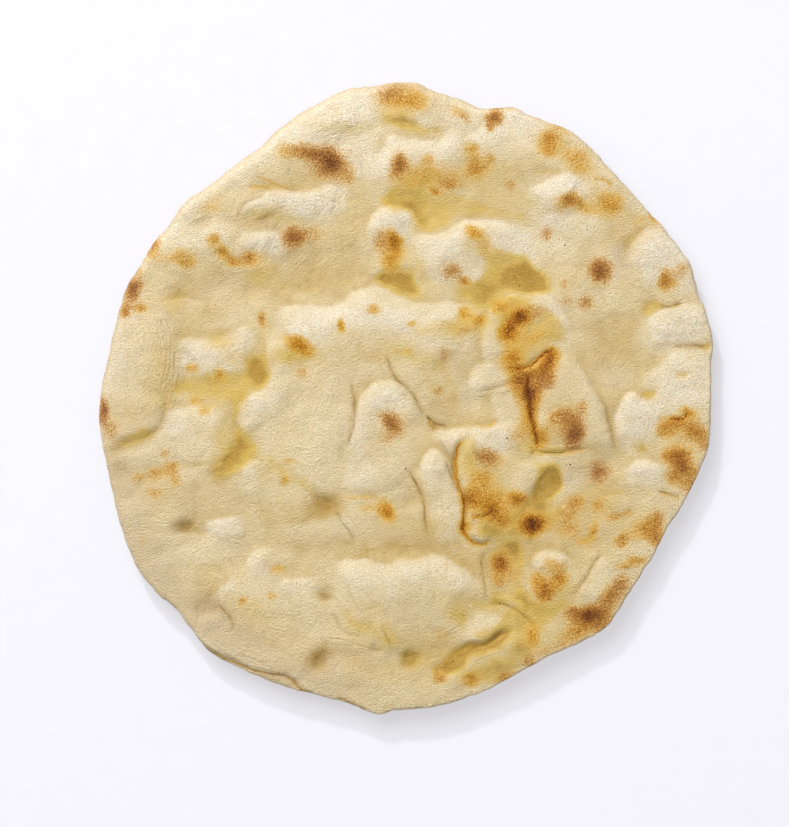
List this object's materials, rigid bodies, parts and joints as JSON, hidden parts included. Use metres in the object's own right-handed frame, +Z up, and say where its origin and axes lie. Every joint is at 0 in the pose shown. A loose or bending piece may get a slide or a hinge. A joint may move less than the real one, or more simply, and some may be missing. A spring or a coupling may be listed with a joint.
{
  "type": "pizza base",
  "caption": "Plain baked pizza base: a hand-stretched round of puffed dough with an uneven rounded rim, soft pillows, creases and toasted spots.",
  "frame": {"origin": "on the surface that the base lies on, under the middle of its bounding box", "axes": "+Z up from the table through the base's thickness; +Y along its longest way, to the far side as it lies; +X to the right"},
  "size_m": [0.291, 0.3, 0.0163],
  "materials": {
    "baked_crust": "matte floured crust, cream to straw yellow, with golden and dark brown toasted spots"
  },
  "bodies": {
    "root": {"pizza_base": "baked_crust"}
  },
  "joints": []
}
